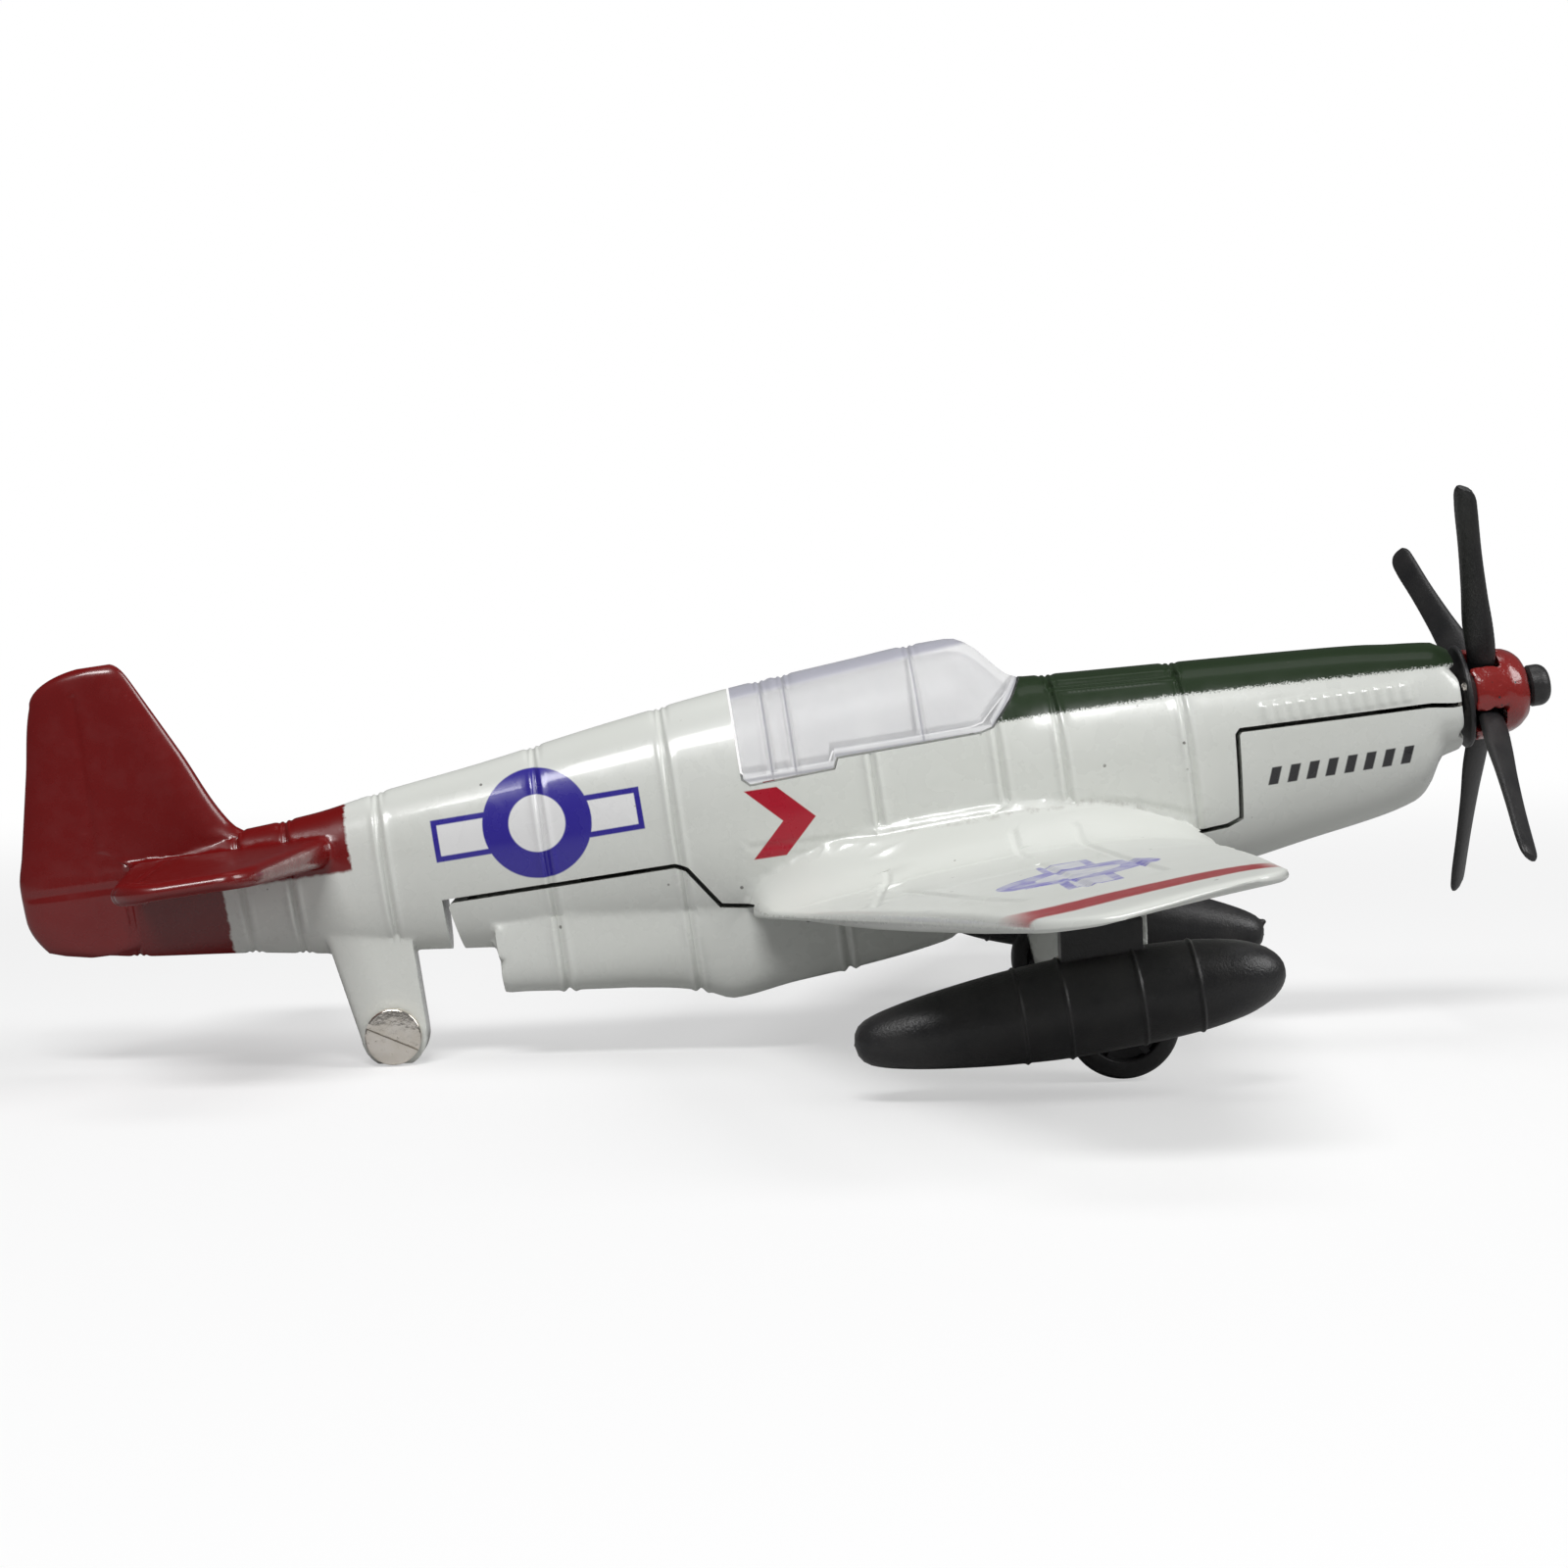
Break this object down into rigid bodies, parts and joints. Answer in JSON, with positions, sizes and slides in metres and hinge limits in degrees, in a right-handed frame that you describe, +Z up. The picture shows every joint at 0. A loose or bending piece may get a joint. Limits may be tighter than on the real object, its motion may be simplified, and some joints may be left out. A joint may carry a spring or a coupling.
{
  "type": "propeller plane model",
  "caption": "Die-cast low-wing propeller fighter model with a clear canopy, spinning propeller, drop tanks, rolling wheels and a tail lug with a slotted screw.",
  "frame": {"origin": "centre of the bounding box on the ground plane that the wheels and the tail lug stand on", "axes": "+X towards the nose, +Y to port along the wing, +Z up; the fuselage sits 7 degrees nose-up"},
  "size_m": [0.0993, 0.1128, 0.035],
  "materials": {
    "white_paint": "gloss light grey enamel over zinc",
    "clear_plastic": "clear moulded polystyrene",
    "black_plastic": "satin black moulded plastic",
    "red_paint": "gloss dark red",
    "plated_steel": "nickel plated"
  },
  "bodies": {
    "airframe": {"upper_casting": "white_paint", "lower_casting": "white_paint", "canopy": "clear_plastic", "propeller_pin": "black_plastic", "pin_lock_washer": "plated_steel", "thrust_washer": "plated_steel", "tail_screw": "plated_steel", "tail_nut": "plated_steel", "front_belly_screw": "plated_steel", "rear_belly_screw": "plated_steel", "left_gear_leg": "white_paint", "right_gear_leg": "white_paint", "left_axle_pin": "plated_steel", "right_axle_pin": "plated_steel", "left_drop_tank": "black_plastic", "right_drop_tank": "black_plastic"},
    "propeller": {"propeller": "black_plastic", "spinner": "red_paint"},
    "left_wheel": {"left_wheel": "black_plastic"},
    "right_wheel": {"right_wheel": "black_plastic"}
  },
  "joints": [
    {"name": "propeller_spin", "type": "hinge", "parent": "airframe", "child": "propeller", "pos_m": [0.04386, 0, 0.02155], "axis": [0.9925, 0, 0.1219], "continuous": true},
    {"name": "left_wheel_roll", "type": "hinge", "parent": "airframe", "child": "left_wheel", "pos_m": [0.01926, 0.018, 0.00343], "axis": [0, 1, 0], "continuous": true},
    {"name": "right_wheel_roll", "type": "hinge", "parent": "airframe", "child": "right_wheel", "pos_m": [0.01926, -0.018, 0.00343], "axis": [0, 1, 0], "continuous": true}
  ]
}
